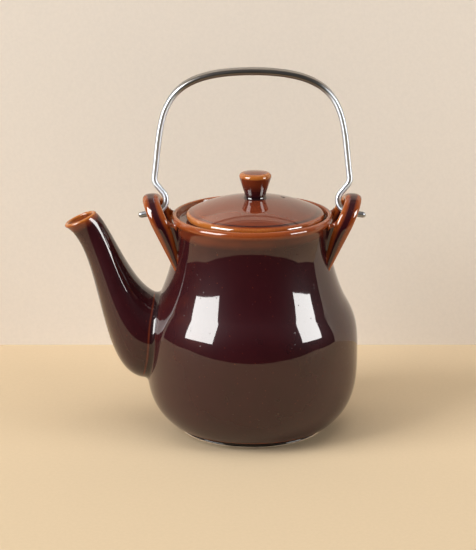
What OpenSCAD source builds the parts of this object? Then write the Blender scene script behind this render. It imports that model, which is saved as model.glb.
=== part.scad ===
// Ceramic teapot with a lift-off lid and a steel bail handle.
// The spout points along -X, the bail swings about X, and the foot stands on Z = 0.

/* [Pot body] */
// Height of the rim above the table
rim_h = 146; // [130:1:165]
// Radius of the foot
foot_r = 50; // [42:0.5:56]
// Radius of the belly at its widest
belly_r = 70.8; // [65:0.1:77]
// Height of the widest part of the belly
belly_z = 50.5; // [42:0.5:58]
// Radius where the belly turns into the neck
shoulder_r = 62.5; // [59:0.5:66]
// Height where the belly turns into the neck
shoulder_z = 88; // [80:1:96]
// Lean of the wall at the shoulder, from upright
shoulder_lean = 30; // [20:0.5:38]
// Slope of the wall where it leaves the foot, from level
foot_slope = 33; // [24:0.5:42]
// Depth of the narrowest part of the neck below the rim
neck_drop = 14.5; // [12:0.5:24]
// How far the neck draws in from the rim
neck_waist = 2.2; // [1:0.1:4]
// Thickness of the wall
wall = 5; // [4:0.25:6]
// Thickness of the floor
floor_t = 6; // [4:0.5:9]
// Width of the bare clay foot ring
foot_w = 7; // [4:0.5:12]
// Height of the bare clay foot ring
foot_h = 1.5; // [1:0.25:3]

/* [Rim and lid seat] */
// Width of the rim, from the lid's recess to its outside
rim_t = 5.3; // [4.5:0.1:7]
// Radius of the roll along the outside of the rim
rim_roll = 2.6; // [2:0.1:3.4]
// Radius of the edge towards the lid
rim_edge = 1.1; // [0.8:0.1:1.9]
// Depth of the lid's seat below the rim
seat_depth = 4; // [3:0.25:7]
// Width of the ledge that the lid rests on
ledge_w = 4.4; // [3:0.1:6]
// Thickness of the ledge at its inner edge
ledge_t = 3.5; // [2.5:0.25:6]
// Slack round the lid in its recess
lid_play = 2.6; // [2.3:0.1:4]

/* [Spout] */
// How far the spout's lip reaches beyond the belly
spout_reach = 52.3; // [44:0.1:62]
// Depth of the lip's low front edge below the rim
lip_drop = 8.8; // [4:0.2:18]
// Length of the lip from front to back
lip_w = 22.6; // [18:0.2:26]
// Tilt of the lip, from level
lip_tilt = 22.5; // [12:0.5:36]
// Height of the spout's underside where it leaves the body
spout_low = 36; // [30:0.5:44]
// Height of the spout's top side where it leaves the body
spout_high = 91; // [84:0.5:96]
// Width of the spout compared with its height, at the body
spout_side = 1; // [0.7:0.02:1.1]
// Thickness of the spout's wall
spout_wall = 3; // [2.5:0.25:4]
// Diameter of the strainer holes behind the spout
strainer_d = 5; // [4:0.25:6]
// Distance between strainer holes
strainer_pitch = 10; // [8:0.5:12]

/* [Lid] */
// Radius of the lid
lid_r = 45.4; // [42:0.2:50]
// How far the lid sits off the middle of its recess
lid_shift = 2.1; // [0:0.1:2.2]
// Height of the lid from its seat to the knob
lid_rise = 14.2; // [10:0.1:20]
// Radius of the lid's rounded edge
lid_edge = 2.4; // [1.6:0.1:3]
// Thickness of the lid
lid_t = 5; // [4:0.25:6]
// Depth of the ring that keeps the lid in the mouth
flange_h = 10; // [6:0.5:16]
// Thickness of that ring
flange_t = 4; // [3:0.25:5]
// Diameter of the steam hole
vent_d = 2.2; // [1.6:0.1:4]
// Distance of the steam hole from the lid's middle
vent_at = 20; // [14:0.1:26]
// Turn of the steam hole from the side away from the spout
vent_turn = 22; // [0:1:90]

/* [Knob] */
// Height of the knob
knob_h = 17.3; // [13:0.1:26]
// Radius of the knob near its top
knob_r = 10.6; // [8.6:0.1:14]
// Radius of the knob at its foot
knob_foot_r = 8.4; // [7:0.1:10]
// Rounding of the knob's top edge
knob_edge = 2.2; // [1:0.1:3]
// Rise of the knob's top towards its middle
knob_crown = 0.8; // [0.2:0.1:2]

/* [Ears] */
// How far the top of an ear stands out from the rim
ear_reach = 13; // [11.5:0.1:16]
// Height of the top of an ear above the rim
ear_rise = 9.8; // [8:0.1:14]
// Depth below the rim where an ear's legs meet the neck
ear_drop = 27; // [24:0.5:32]
// Distance between the middles of an ear's two legs
ear_span = 34; // [30:0.5:40]
// Width of an ear's strap
strap_w = 10.9; // [9:0.1:12.5]
// Width of the strap where it meets the neck
strap_foot_w = 5.4; // [4:0.1:9]
// Thickness of an ear's strap
strap_t = 6; // [4.5:0.1:7]

/* [Bail handle] */
// Diameter of the bail's round wire ends
wire_d = 4; // [3:0.1:4.6]
// Width of the bail's flattened bow
bail_w = 11; // [5:0.25:14]
// Height of the bow's middle above the ears
bail_h = 84.3; // [70:0.5:110]
// Height of the bow's straight ends above the ears
leg_rise = 14.5; // [13.6:0.1:18]
// How far the legs stand inside the ears
leg_inset = 2.5; // [1:0.1:4]
// Spread of the legs, from upright
leg_lean = 8; // [0:0.5:11]
// Fullness of the top of the bow
bow_top = 63.5; // [52:0.5:72]
// Fullness of the sides of the bow
bow_side = 41.5; // [28:0.5:55]
// Radius of the bend above the hook
bend_r = 7; // [3.2:0.1:8]
// Clearance between a hook and its ear's strap
hook_gap = 0.8; // [0.6:0.1:1.4]
// How far the middle of a hook hangs below the middle of the strap
hook_drop = 1; // [0:0.1:1.5]
// How far the middle of a hook lies inside the middle of the strap
hook_inset = 1.6; // [0:0.1:2.4]
// Droop of the wire's ends, from level
pin_droop = 11; // [0:0.5:15]
// Length of the wire's straight ends
pin_len = 9.7; // [6:0.1:13]

/* [Hidden] */

// Colours of the glaze and the metal
glaze_dark = "#3a1418";
glaze_rust = "#8a3d1a";
steel = "#b9bcc0";

// Steps along curves and round sections
curve_steps = 12;
arc_steps = 6;
tube_sides = 32;
spout_steps = 24;
strap_sides = 20;
strap_steps = 16;
leg_steps = 5;
wire_sides = 24;
bow_sides = 16;
bow_steps = 24;
hook_steps = 14;
$fn = 96;

// Spout: how far its root lies inside the belly, and the run of its two curves
spout_bury = 11.3;
root_lean = 4.5;
root_dip = 23;
under_pull = 50.5;
under_lip = -29;
lip_pull = 32;
top_pull = 22.5;
top_lip = 138;
back_pull = 14.5;

// Ears: squareness of the strap's section, levelling of its crest and depth of its legs in the wall
strap_soft = 0.8;
crest_level = 0.85;
ear_sink = 9;

// Lid and knob: turns where the lid's rounded edge starts and ends, and the fillet at the knob's foot
lid_tuck = -60;
lid_crease = 70;
knob_fillet = [1.4, 2.7];

// Bail: where the bow starts to narrow, how far its sweep lies inside the wire's ends and runs into them
taper_from = 0.7;
wire_press = 0.06;
pin_sink = 0.4;

// Lid seat: the lid's own radius sets the recess, the rim and the neck
seat_gap = 0.3;
gallery_r = lid_r + lid_play;
rim_r = gallery_r + rim_t;
neck_r = rim_r - neck_waist;
neck_z = rim_h - neck_drop;
seat_z = rim_h - seat_depth;
ledge_r = lid_r - ledge_w;
ledge_foot = [neck_r - wall, seat_z - ledge_t - (neck_r - wall - ledge_r)];
seat_flare = rim_t - rim_roll - rim_edge;
flange_r = ledge_r - lid_play - seat_gap;
floor_z = foot_h + floor_t;
foot_edge = foot_r - foot_h / 2;
strainer_len = 4 * wall;
strainer_x = -belly_r + strainer_len * 3 / 4;
lid_base = seat_z + seat_gap;
knob_base = lid_base + lid_rise;

// Pulls of the pot's profile curves
foot_pull = 21.4;
belly_pull_low = 23.4;
belly_pull_high = 19.8;
shoulder_pull_low = 14;
shoulder_pull_high = 7.1;
neck_pull_low = 16.6;
neck_pull_high = 4;
roll_pull = 2.5;
roll_start = -35;

// Ears and bail share the middle of the strap at the top of an ear
ear_x = rim_r + ear_reach;
ear_z = rim_h + ear_rise;
ear_foot_z = rim_h - ear_drop;
ear_foot_x = sqrt(pow(neck_r, 2) - pow(ear_span / 2, 2));
hook_c = [ear_x - hook_inset, ear_z - hook_drop];
hook_r = strap_w / 2 + hook_gap + wire_d / 2;
leg_end = [ear_x - leg_inset, ear_z + leg_rise];
bend_c = leg_end - bend_r * [cos(leg_lean), sin(leg_lean)];
bend_to_hook = hook_c - bend_c;
sway = asin((bend_r + hook_r) / norm(bend_to_hook)) - atan2(bend_to_hook[0], -bend_to_hook[1]);

// Plane curves
function unit(v) = v / norm(v);
function polar(a) = [cos(a), sin(a)];
function arc(c, r, a0, a1, n) = [for (i = [0:n]) c + r * polar(a0 + (a1 - a0) * i / n)];
function bezier(p, t) =
    pow(1 - t, 3) * p[0] + 3 * pow(1 - t, 2) * t * p[1] + 3 * (1 - t) * t * t * p[2] + pow(t, 3) * p[3];
function bezier_run(p, t) =
    unit(pow(1 - t, 2) * (p[1] - p[0]) + 2 * (1 - t) * t * (p[2] - p[1]) + t * t * (p[3] - p[2]));
function left_of(v) = [-v[1], v[0]];
function smooth(k) = k * k * (3 - 2 * k);
function rest(list) = [for (i = [1:len(list) - 1]) list[i]];

// Pot profile from the foot to the rim, as three curves that meet smoothly
shoulder_run = [-sin(shoulder_lean), cos(shoulder_lean)];
roll_c = [rim_r - rim_roll, rim_h - rim_roll];
roll_from = roll_c + rim_roll * polar(roll_start);
pot_curves = [
    [[foot_r, foot_h], [foot_r, foot_h] + foot_pull * polar(foot_slope),
        [belly_r, belly_z - belly_pull_low], [belly_r, belly_z]],
    [[belly_r, belly_z], [belly_r, belly_z + belly_pull_high],
        [shoulder_r, shoulder_z] - shoulder_pull_low * shoulder_run, [shoulder_r, shoulder_z]],
    [[shoulder_r, shoulder_z], [shoulder_r, shoulder_z] + shoulder_pull_high * shoulder_run,
        [neck_r, neck_z - neck_pull_low], [neck_r, neck_z]]
];
rim_curve = [[neck_r, neck_z], [neck_r, neck_z + neck_pull_high],
    roll_from - roll_pull * left_of(polar(roll_start)), roll_from];

// Points of the pot's wall, pushed inwards by a depth
function wall_points(depth) = [
    for (c = pot_curves)
        for (i = [1:curve_steps])
            bezier(c, i / curve_steps) + depth * left_of(bezier_run(c, i / curve_steps))
];
outside = concat(
    [[foot_r, foot_h]],
    wall_points(0),
    [for (i = [1:arc_steps]) bezier(rim_curve, i / arc_steps)],
    arc(roll_c, rim_roll, roll_start, 90, arc_steps + 2)
);
inside = [for (p = wall_points(wall)) if (p[1] > floor_z && p[1] < ledge_foot[1]) p];

module pot_block() {
    rotate_extrude()
        polygon(concat([[0, 0], [foot_edge, 0]], outside, [[0, rim_h]]));
}

module pot_wall() {
    seat = concat(
        rest(arc([gallery_r + seat_flare + rim_edge, rim_h - rim_edge], rim_edge, 90, 180, arc_steps)),
        [[gallery_r, seat_z], [ledge_r, seat_z], [ledge_r, seat_z - ledge_t], ledge_foot]
    );
    foot = [[0, foot_h], [foot_r - foot_w, foot_h], [foot_r - foot_w, 0], [foot_edge, 0]];
    inner = [for (i = [len(inside) - 1:-1:0]) inside[i]];
    rotate_extrude()
        polygon(concat(foot, outside, seat, inner, [[inner[len(inner) - 1][0], floor_z], [0, floor_z]]));
}

// Strainer: one hole in the middle of the spout's root and six round it
module strainer_hole() {
    cylinder(h = strainer_len, d = strainer_d, $fn = wire_sides);
}

module strainer_holes() {
    translate([strainer_x, 0, (spout_low + spout_high) / 2])
        rotate([0, -90, 0]) {
            strainer_hole();
            for (a = [0:60:300])
                rotate([0, 0, a])
                    translate([strainer_pitch, 0, 0])
                        strainer_hole();
        }
}

module pot_body() {
    color(glaze_dark)
        difference() {
            pot_wall();
            strainer_holes();
        }
}

// Solid skinned over rings of points; a loop closes on itself, other skins get end faces
module skin(rings, loop = false) {
    n = len(rings[0]);
    m = len(rings);
    last = loop ? m - 1 : m - 2;
    sides = [
        for (i = [0:last], j = [0:n - 1])
            let (i2 = (i + 1) % m, j2 = (j + 1) % n)
                each [[i * n + j, i2 * n + j2, i * n + j2], [i * n + j, i2 * n + j, i2 * n + j2]]
    ];
    ends = loop ? [] : [[for (j = [0:n - 1]) j], [for (j = [n - 1:-1:0]) (m - 1) * n + j]];
    polyhedron([for (r = rings) each r], concat(sides, ends), convexity = 8);
}

// Spout: round sections between the curves of its underside and its top side
lip_front = [-belly_r - spout_reach, rim_h - lip_drop];
lip_back = lip_front + lip_w * polar(lip_tilt);
under_root = [-belly_r + spout_bury, spout_low];
top_root = [-belly_r + spout_bury + root_lean, spout_high];
under_curve = [under_root, under_root + under_pull * polar(180 + root_dip),
    lip_front + lip_pull * polar(under_lip), lip_front];
top_curve = [top_root, top_root + top_pull * polar(180 + root_dip),
    lip_back - back_pull * polar(top_lip), lip_back];

// One ring of the spout: t runs from root to lip, in is how far inside the surface, up is past the lip
function spout_ring(t, in, up) =
    let (a = bezier(under_curve, t), b = bezier(top_curve, t))
    let (mid = (a + b) / 2, half = norm(b - a) / 2 - in, rise = unit(b - a))
    let (out = mid + up * left_of(rise), side = spout_side + (1 - spout_side) * t)
        [for (j = [0:tube_sides - 1])
            let (w = polar(360 * j / tube_sides))
                [out[0] + half * w[0] * rise[0], half * side * w[1], out[1] + half * w[0] * rise[1]]];

module spout() {
    lip_round = spout_wall / 2;
    outer = [for (i = [0:spout_steps]) spout_ring(i / spout_steps, 0, 0)];
    lip = [for (i = [1:arc_steps - 1])
        spout_ring(1, lip_round * (1 - cos(180 * i / arc_steps)), lip_round * sin(180 * i / arc_steps))];
    bore = [for (i = [spout_steps:-1:0]) spout_ring(i / spout_steps, spout_wall, 0)];
    color(glaze_dark)
        difference() {
            skin(concat(outer, lip, bore), loop = true);
            pot_block();
        }
}

// Ear: a strap bent to an upturned U that leans out from the neck and levels at its crest
ear_run = [ear_x - ear_foot_x, ear_z - ear_foot_z];
ear_lean = atan2(ear_run[0], ear_run[1]);
arch_r = ear_span / 2;
leg_len = norm(ear_run) - arch_r;

// Points of the strap's middle line: across the ear, up the ear, turn of the strap and nearness to the foot
ear_leg = [for (i = [0:leg_steps - 1])
    let (k = i / leg_steps)
        [arch_r, leg_len * k - ear_sink * (1 - k), 0, smooth(1 - k)]];
ear_path = concat(
    ear_leg,
    [for (i = [0:strap_steps])
        let (a = 180 * i / strap_steps)
            [arch_r * cos(a), leg_len + arch_r * sin(a), a, 0]],
    [for (i = [leg_steps - 1:-1:0])
        [-arch_r, ear_leg[i][1], 180, ear_leg[i][3]]]
);
function soft(v) = sign(v) * pow(abs(v), strap_soft);
function strap_ring(p) =
    let (out = polar(-ear_lean * (1 - crest_level * sin(p[2]))), taper = (strap_w - strap_foot_w) * p[3])
    let (mid = [ear_foot_x, ear_foot_z] + p[1] * unit(ear_run))
        [for (j = [0:strap_sides - 1])
            let (w = polar(360 * j / strap_sides))
            let (across = (strap_w - taper) / 2 * soft(w[0]) + taper / 2, up = strap_t / 2 * soft(w[1]))
            let (flat = mid + across * out + up * sin(p[2]) * left_of(out))
                [flat[0], p[0] + up * cos(p[2]), flat[1]]];

module ear() {
    color(glaze_rust)
        difference() {
            skin([for (p = ear_path) strap_ring(p)]);
            pot_block();
        }
}

module back_ear() {
    ear();
}

module spout_ear() {
    mirror([1, 0, 0])
        ear();
}

// Lid: a shallow dome with a rounded edge, a flat seat for the knob and a ring below
module lid_shell() {
    edge_c = [lid_r - lid_edge, lid_base + lid_edge];
    edge_top = edge_c + lid_edge * polar(lid_crease);
    sag = knob_base - edge_top[1];
    dome_r = (pow(edge_top[0], 2) - pow(knob_foot_r, 2) + sag * sag) / (2 * sag);
    dome_ball = norm([knob_foot_r, dome_r]);
    dome_c = [0, knob_base - dome_r];
    from = atan2(edge_top[1] - dome_c[1], edge_top[0]);
    to = atan2(dome_r, knob_foot_r);
    top = arc(dome_c, dome_ball, from, to, curve_steps);
    under_ball = dome_ball - lid_t;
    under = arc(dome_c, under_ball, to, acos((flange_r - flange_t) / under_ball), curve_steps);
    rotate_extrude()
        polygon(concat(
            [[flange_r, seat_z - flange_h], [flange_r, lid_base], [edge_c[0], lid_base]],
            arc(edge_c, lid_edge, lid_tuck, lid_crease, arc_steps),
            rest(top),
            [[0, knob_base], [0, under[0][1]]],
            under,
            [[flange_r - flange_t, seat_z - flange_h]]
        ));
}

module lid() {
    color(glaze_rust)
        translate([lid_shift, 0, 0])
            difference() {
                lid_shell();
                rotate([0, 0, vent_turn])
                    translate([vent_at, 0, lid_base])
                        cylinder(h = lid_rise, d = vent_d, $fn = wire_sides);
            }
}

// Knob: a cone that widens upwards, with a waist fillet, a rounded top edge and a crowned top
module lid_knob() {
    edge_c = [knob_r - knob_edge, knob_h - knob_crown - knob_edge];
    waist = [knob_foot_r - knob_fillet[0], knob_fillet[1]];
    flank = -atan2(knob_r - waist[0], edge_c[1] - waist[1]);
    crown_r = (pow(edge_c[0], 2) + knob_crown * knob_crown) / (2 * knob_crown);
    color(glaze_rust)
        translate([lid_shift, 0, knob_base])
            rotate_extrude()
                polygon(concat(
                    [[0, 0], [knob_foot_r, 0], waist],
                    arc(edge_c, knob_edge, flank, 90, arc_steps),
                    [for (i = [1:arc_steps])
                        let (x = edge_c[0] * (1 - i / arc_steps))
                            [x, knob_h - crown_r + sqrt(crown_r * crown_r - x * x)]]
                ));
}

// Bail: a bow pressed flat that runs into round wire, bends in and hooks under the strap of each ear
bow_curve = [[0, ear_z + bail_h], [bow_top, ear_z + bail_h],
    leg_end + bow_side * [-sin(leg_lean), cos(leg_lean)], leg_end];
hook_from = 180 - sway;
hook_to = 270 - pin_droop;
pin_from = hook_c + hook_r * polar(hook_to);

// Half of the bail from the middle of the bow: point, direction away from the curve and half the flat
bail_path = concat(
    [for (i = [0:bow_steps])
        let (t = i / bow_steps, taper = smooth(max(0, t - taper_from) / (1 - taper_from)))
            [bezier(bow_curve, t), left_of(bezier_run(bow_curve, t)), (bail_w - wire_d) / 2 * (1 - taper)]],
    [for (i = [1:arc_steps])
        let (a = leg_lean - (leg_lean + sway) * i / arc_steps)
            [bend_c + bend_r * polar(a), polar(a), 0]],
    [for (i = [0:hook_steps])
        let (a = hook_from + (hook_to - hook_from) * i / hook_steps)
            [hook_c + hook_r * polar(a), -polar(a), 0]],
    [[pin_from + pin_sink * polar(-pin_droop), -polar(hook_to), 0]]
);
function bail_ring(p, side) = [
    for (j = [0:bow_sides - 1])
        let (w = (wire_d / 2 - wire_press) * polar(360 * (j + 0.5) / bow_sides))
            [side * (p[0][0] + w[1] * p[1][0]), w[0] + p[2] * sign(w[0]), p[0][1] + w[1] * p[1][1]]
];

// Straight wire end with a rounded tip, on the +X side
module pin() {
    translate([pin_from[0], 0, pin_from[1]])
        rotate([0, 90 + pin_droop, 0])
            rotate_extrude($fn = wire_sides)
                polygon(concat([[0, 0], [wire_d / 2, 0]], arc([0, pin_len], wire_d / 2, 0, 90, arc_steps)));
}

module bail_handle() {
    color(steel) {
        skin(concat(
            [for (i = [len(bail_path) - 1:-1:1]) bail_ring(bail_path[i], -1)],
            [for (p = bail_path) bail_ring(p, 1)]
        ));
        pin();
        mirror([1, 0, 0])
            pin();
    }
}

pot_body();
spout();
spout_ear();
back_ear();
lid();
lid_knob();
bail_handle();
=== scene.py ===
from math import acos, asin, atan2, cos, hypot, pi, radians, sin, sqrt

import bmesh
import bpy
import numpy as np
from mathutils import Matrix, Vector


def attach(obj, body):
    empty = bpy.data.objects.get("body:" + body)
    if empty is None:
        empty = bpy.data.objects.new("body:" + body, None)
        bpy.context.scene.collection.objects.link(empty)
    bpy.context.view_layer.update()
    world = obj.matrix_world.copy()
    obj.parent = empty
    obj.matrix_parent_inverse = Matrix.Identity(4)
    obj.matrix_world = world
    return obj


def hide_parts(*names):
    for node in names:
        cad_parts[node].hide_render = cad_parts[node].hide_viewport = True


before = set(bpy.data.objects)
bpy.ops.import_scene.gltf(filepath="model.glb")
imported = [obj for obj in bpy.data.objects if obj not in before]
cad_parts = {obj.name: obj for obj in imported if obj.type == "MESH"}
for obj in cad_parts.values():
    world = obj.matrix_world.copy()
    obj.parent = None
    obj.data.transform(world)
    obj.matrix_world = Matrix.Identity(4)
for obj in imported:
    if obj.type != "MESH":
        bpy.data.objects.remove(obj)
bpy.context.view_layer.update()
scene = bpy.context.scene
scene.view_settings.view_transform = "Standard"
mm = 0.001  # sizes below are in millimetres, meshes in metres


# plane curves: x is outwards, y is up

def polar(deg):
    return np.array([cos(radians(deg)), sin(radians(deg))])


def leftOf(v):
    return np.array([-v[1], v[0]])


def unit(v):
    return v / np.linalg.norm(v, axis=-1, keepdims=True)


def arc(c, r, a0, a1, n):
    return [np.asarray(c, float) + r * polar(a0 + (a1 - a0) * i / n) for i in range(n + 1)]


def bezier(p, t):
    s = 1 - t
    return s ** 3 * p[0] + 3 * s ** 2 * t * p[1] + 3 * s * t * t * p[2] + t ** 3 * p[3]


def bezierRun(p, t):
    s = 1 - t
    return unit(s ** 2 * (p[1] - p[0]) + 2 * s * t * (p[2] - p[1]) + t * t * (p[3] - p[2]))


def smooth(k):
    k = np.clip(k, 0.0, 1.0)
    return k * k * (3 - 2 * k)


def rise(x, gain, start, over):
    # 0 before start, gain once past it by over; with a negative over it falls
    return gain * float(smooth((x - start) / over))


def stripe(x, gain, at, width):
    return gain * float(np.exp(-((x - at) / width) ** 2))


def roundTurns(count):
    return np.linspace(0, 2 * pi, count, endpoint=False)


# mesh makers

def addMesh(name, points, faces):
    mesh = bpy.data.meshes.new(name)
    mesh.from_pydata((np.asarray(points, float) * mm).tolist(), [], faces)
    mesh.validate()
    shell = bmesh.new()
    shell.from_mesh(mesh)
    if shell.calc_volume(signed=True) < 0:  # all faces look outwards
        mesh.flip_normals()
    shell.free()
    mesh.update()
    obj = bpy.data.objects.new(name, mesh)
    scene.collection.objects.link(obj)
    return obj


def gridFaces(rings, sides, loop=False):
    faces = []
    for i in range(rings if loop else rings - 1):
        k = (i + 1) % rings
        for j in range(sides):
            m = (j + 1) % sides
            faces.append((i * sides + j, i * sides + m, k * sides + m, k * sides + j))
    return faces


def endFans(rings, sides):
    # a fan of faces round one added point at each end
    first, last, top = rings * sides, rings * sides + 1, (rings - 1) * sides
    faces = []
    for j in range(sides):
        m = (j + 1) % sides
        faces += [(first, m, j), (last, top + j, top + m)]
    return faces


def skinRings(name, rings, loop=False):
    rings = np.asarray(rings, float)
    count, sides = rings.shape[:2]
    points = rings.reshape(-1, 3)
    faces = gridFaces(count, sides, loop)
    if not loop:
        points = np.vstack([points, rings[0].mean(0), rings[-1].mean(0)])
        faces += endFans(count, sides)
    return addMesh(name, points, faces)


def revolve(name, profile, sides, centreX=0.0):
    turns = roundTurns(sides)
    body = [p for p in profile if p[0] > 1e-6]
    rings = [np.stack([centreX + r * np.cos(turns), r * np.sin(turns), np.full(sides, z)], 1)
             for r, z in body]
    ends = [[centreX, 0, profile[0][1]], [centreX, 0, profile[-1][1]]]
    faces = gridFaces(len(body), sides) + endFans(len(body), sides)
    return addMesh(name, np.vstack(rings + [ends]), faces)


def cutWith(obj, cutter):
    cut = obj.modifiers.new("cut", "BOOLEAN")
    cut.operation = "DIFFERENCE"
    cut.solver = "EXACT"
    cut.object = cutter
    bpy.context.view_layer.update()
    made = bpy.data.meshes.new_from_object(obj.evaluated_get(bpy.context.evaluated_depsgraph_get()))
    obj.modifiers.clear()
    obj.data = made
    bpy.data.objects.remove(cutter)


def softShade(obj, sharpFrom):
    obj.data.shade_smooth()
    obj.data.set_sharp_from_angle(angle=radians(sharpFrom))


def paint(obj, name, values):
    layer = obj.data.attributes.new(name, "FLOAT", "POINT")
    layer.data.foreach_set("value", np.asarray(values, np.float32).ravel())


# painted light and shade: the glaze is painted thinner and lighter towards the spout and thicker
# and darker at the back; in mm, but for backShare
paintedLightSide = {"spoutSide": 46.0, "backSide": 40.0, "backShare": 0.45, "over": 30.0}


def paintProfile(obj, profile, thin, centreX=0.0, lean=0.0, paintedLightFrom=-1000.0):
    # each vertex takes the glaze thinness of the nearest point of the turned profile,
    # and above a given height lean paints it lighter towards the spout and darker at the back:
    # painted light and shade
    s = paintedLightSide
    co = np.zeros(len(obj.data.vertices) * 3, np.float32)
    obj.data.vertices.foreach_get("co", co)
    co = co.reshape(-1, 3) / mm
    place = np.stack([np.hypot(co[:, 0] - centreX, co[:, 1]), co[:, 2]], 1)
    profile = np.asarray(profile, float)
    atOnce = 4000
    near = np.concatenate([((part[:, None] - profile[None]) ** 2).sum(2).argmin(1)
                           for part in np.array_split(place, 1 + len(place) // atOnce)])
    # painted light and shade: lighter towards the spout, darker on the far side
    side = smooth(-co[:, 0] / s["spoutSide"]) - s["backShare"] * smooth(co[:, 0] / s["backSide"])
    side = side * smooth((co[:, 2] - paintedLightFrom) / s["over"])
    paint(obj, "thin", np.asarray(thin)[near] + lean * side)


def mount(obj, body, node, slot, *materials):
    for m in materials:
        obj.data.materials.append(m)
    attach(obj, body)
    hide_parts(node)
    print("made", obj.name, "with", len(obj.data.polygons), "faces")


# materials

def link(mat, *pairs):
    for out, into in pairs:
        mat.node_tree.links.new(out, into)


def setInputs(node, **values):
    for key, value in values.items():
        node.inputs[key].default_value = value


def newMaterial(name):
    mat = bpy.data.materials.new(name)
    mat.use_nodes = True
    return mat, mat.node_tree.nodes["Principled BSDF"]


def addNode(mat, kind, **values):
    node = mat.node_tree.nodes.new("ShaderNode" + kind)
    for key, value in values.items():
        setattr(node, key, value)
    return node


def mathNode(mat, operation, a, b=None, clamp=False):
    node = addNode(mat, "Math", operation=operation, use_clamp=clamp)
    for socket, value in zip(node.inputs, (a, b)):
        if isinstance(value, (int, float)):
            socket.default_value = value
        elif value is not None:
            link(mat, (value, socket))
    return node.outputs[0]


def remap(mat, value, low, high, toLow=0.0, toHigh=1.0):
    node = addNode(mat, "MapRange", interpolation_type="SMOOTHSTEP")
    setInputs(node, **{"From Min": low, "From Max": high, "To Min": toLow, "To Max": toHigh})
    link(mat, (value, node.inputs["Value"]))
    return node.outputs["Result"]


def noise(mat, coords, scale, detail=2.0, roughness=0.5):
    node = addNode(mat, "TexNoise")
    setInputs(node, Scale=scale, Detail=detail, Roughness=roughness)
    link(mat, (coords, node.inputs["Vector"]))
    return node.outputs["Fac"]


def around(mat, value, gain):
    # a noise that swings round zero
    return mathNode(mat, "MULTIPLY", mathNode(mat, "SUBTRACT", value, 0.5), gain)


def blendTwo(mat, a, shareA, b, shareB):
    a, b = mathNode(mat, "MULTIPLY", a, shareA), mathNode(mat, "MULTIPLY", b, shareB)
    return mathNode(mat, "ADD", a, b)


def addBump(mat, height, strength, depth, **values):
    node = addNode(mat, "Bump", **values)
    setInputs(node, Strength=strength, Distance=depth)
    link(mat, (height, node.inputs["Height"]))
    return node


def specks(mat, coords, scale, size, share):
    # small dots in a share of the cells of a scatter
    cells = addNode(mat, "TexVoronoi", feature="F1")
    setInputs(cells, Scale=scale)
    link(mat, (coords, cells.inputs["Vector"]))
    pick = addNode(mat, "SeparateColor")
    link(mat, (cells.outputs["Color"], pick.inputs["Color"]))
    near = remap(mat, cells.outputs["Distance"], size * 0.5, size, 1.0, 0.0)
    chosen = mathNode(mat, "LESS_THAN", pick.outputs["Red"], share)
    return mathNode(mat, "MULTIPLY", near, chosen)


def ramp(mat, value, stops):
    node = addNode(mat, "ValToRGB")
    band = node.color_ramp
    band.interpolation = "EASE"
    while len(band.elements) < len(stops):
        band.elements.new(0.5)
    for element, (place, colour) in zip(band.elements, stops):
        element.position = place
        element.color = (*colour, 1.0)
    link(mat, (value, node.inputs["Fac"]))
    return node.outputs["Color"]


glaze = {
    "bands": [                            # colour by thinness
        (0.0, (0.010, 0.0018, 0.0024)),   # pooled, nearly black
        (0.18, (0.030, 0.0040, 0.0060)),  # aubergine of the belly
        (0.44, (0.155, 0.0280, 0.0095)),  # lid and knob
        (0.62, (0.25, 0.0490, 0.0080)),   # rim
        (0.82, (0.40, 0.120, 0.019)),     # where it breaks over an edge
        (1.0, (0.60, 0.26, 0.075)),       # thinnest line on a sharp edge
    ],
    "cloudScale": 55, "cloud": 0.16, "grainScale": 900, "grain": 0.22,
    "grainFrom": 0.3, "grainFull": 0.75,  # the grain shows only where the glaze is thin
    "dots": (620, 0.22, 0.08), "dotGain": 0.22,  # scale, size and share of the thin specks
    "pits": (480, 0.20, 0.07), "pitStrength": 0.5, "pitDepth": 0.00008,
    "roughness": 0.025, "grainRough": 0.03, "pitRough": 0.25, "tint": (1.0, 0.965, 0.92, 1.0),
    "rippleScale": 95, "rippleStrength": 0.35, "rippleDepth": 0.00012,
    "hazeRoughness": 0.42, "hazeIor": 1.35,      # faint haze round the highlights
}


def makeGlaze(name, base, ior, haze=0.0):
    g = glaze
    mat, shader = newMaterial(name)
    coords = addNode(mat, "TexCoord").outputs["Object"]
    layer = addNode(mat, "Attribute", attribute_name="thin").outputs["Fac"]
    cloud = noise(mat, coords, g["cloudScale"], 3)
    grain = noise(mat, coords, g["grainScale"], 2, 0.6)
    body = mathNode(mat, "ADD", mathNode(mat, "ADD", layer, base), around(mat, cloud, g["cloud"]))
    shown = remap(mat, body, g["grainFrom"], g["grainFull"])
    fine = mathNode(mat, "MULTIPLY", around(mat, grain, g["grain"]), shown)
    dots = mathNode(mat, "MULTIPLY", specks(mat, coords, *g["dots"]), g["dotGain"])
    thinness = mathNode(mat, "ADD", mathNode(mat, "ADD", body, fine), dots, clamp=True)
    pits = specks(mat, coords, *g["pits"])
    rough = blendTwo(mat, grain, g["grainRough"], pits, g["pitRough"])
    # slow ripple of the poured glaze, then pinholes
    wave = noise(mat, coords, g["rippleScale"], 1)
    ripple = addBump(mat, wave, g["rippleStrength"], g["rippleDepth"])
    holes = addBump(mat, pits, g["pitStrength"], g["pitDepth"], invert=True)
    link(mat, (ramp(mat, thinness, g["bands"]), shader.inputs["Base Color"]),
         (mathNode(mat, "ADD", rough, g["roughness"]), shader.inputs["Roughness"]),
         (ripple.outputs["Normal"], holes.inputs["Normal"]),
         (holes.outputs["Normal"], shader.inputs["Normal"]))
    setInputs(shader, **{"IOR": ior, "Specular Tint": g["tint"], "Coat Weight": haze,
                         "Coat Roughness": g["hazeRoughness"], "Coat IOR": g["hazeIor"]})
    return mat


clayLook = {
    "dark": (0.52, 0.39, 0.26), "light": (0.76, 0.63, 0.46), "roughness": 0.85,
    "grainScale": 1400, "grainShare": 0.55, "stainScale": 120, "stainShare": 0.45,
    "bumpStrength": 0.5, "bumpDepth": 0.0001,
}


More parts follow.
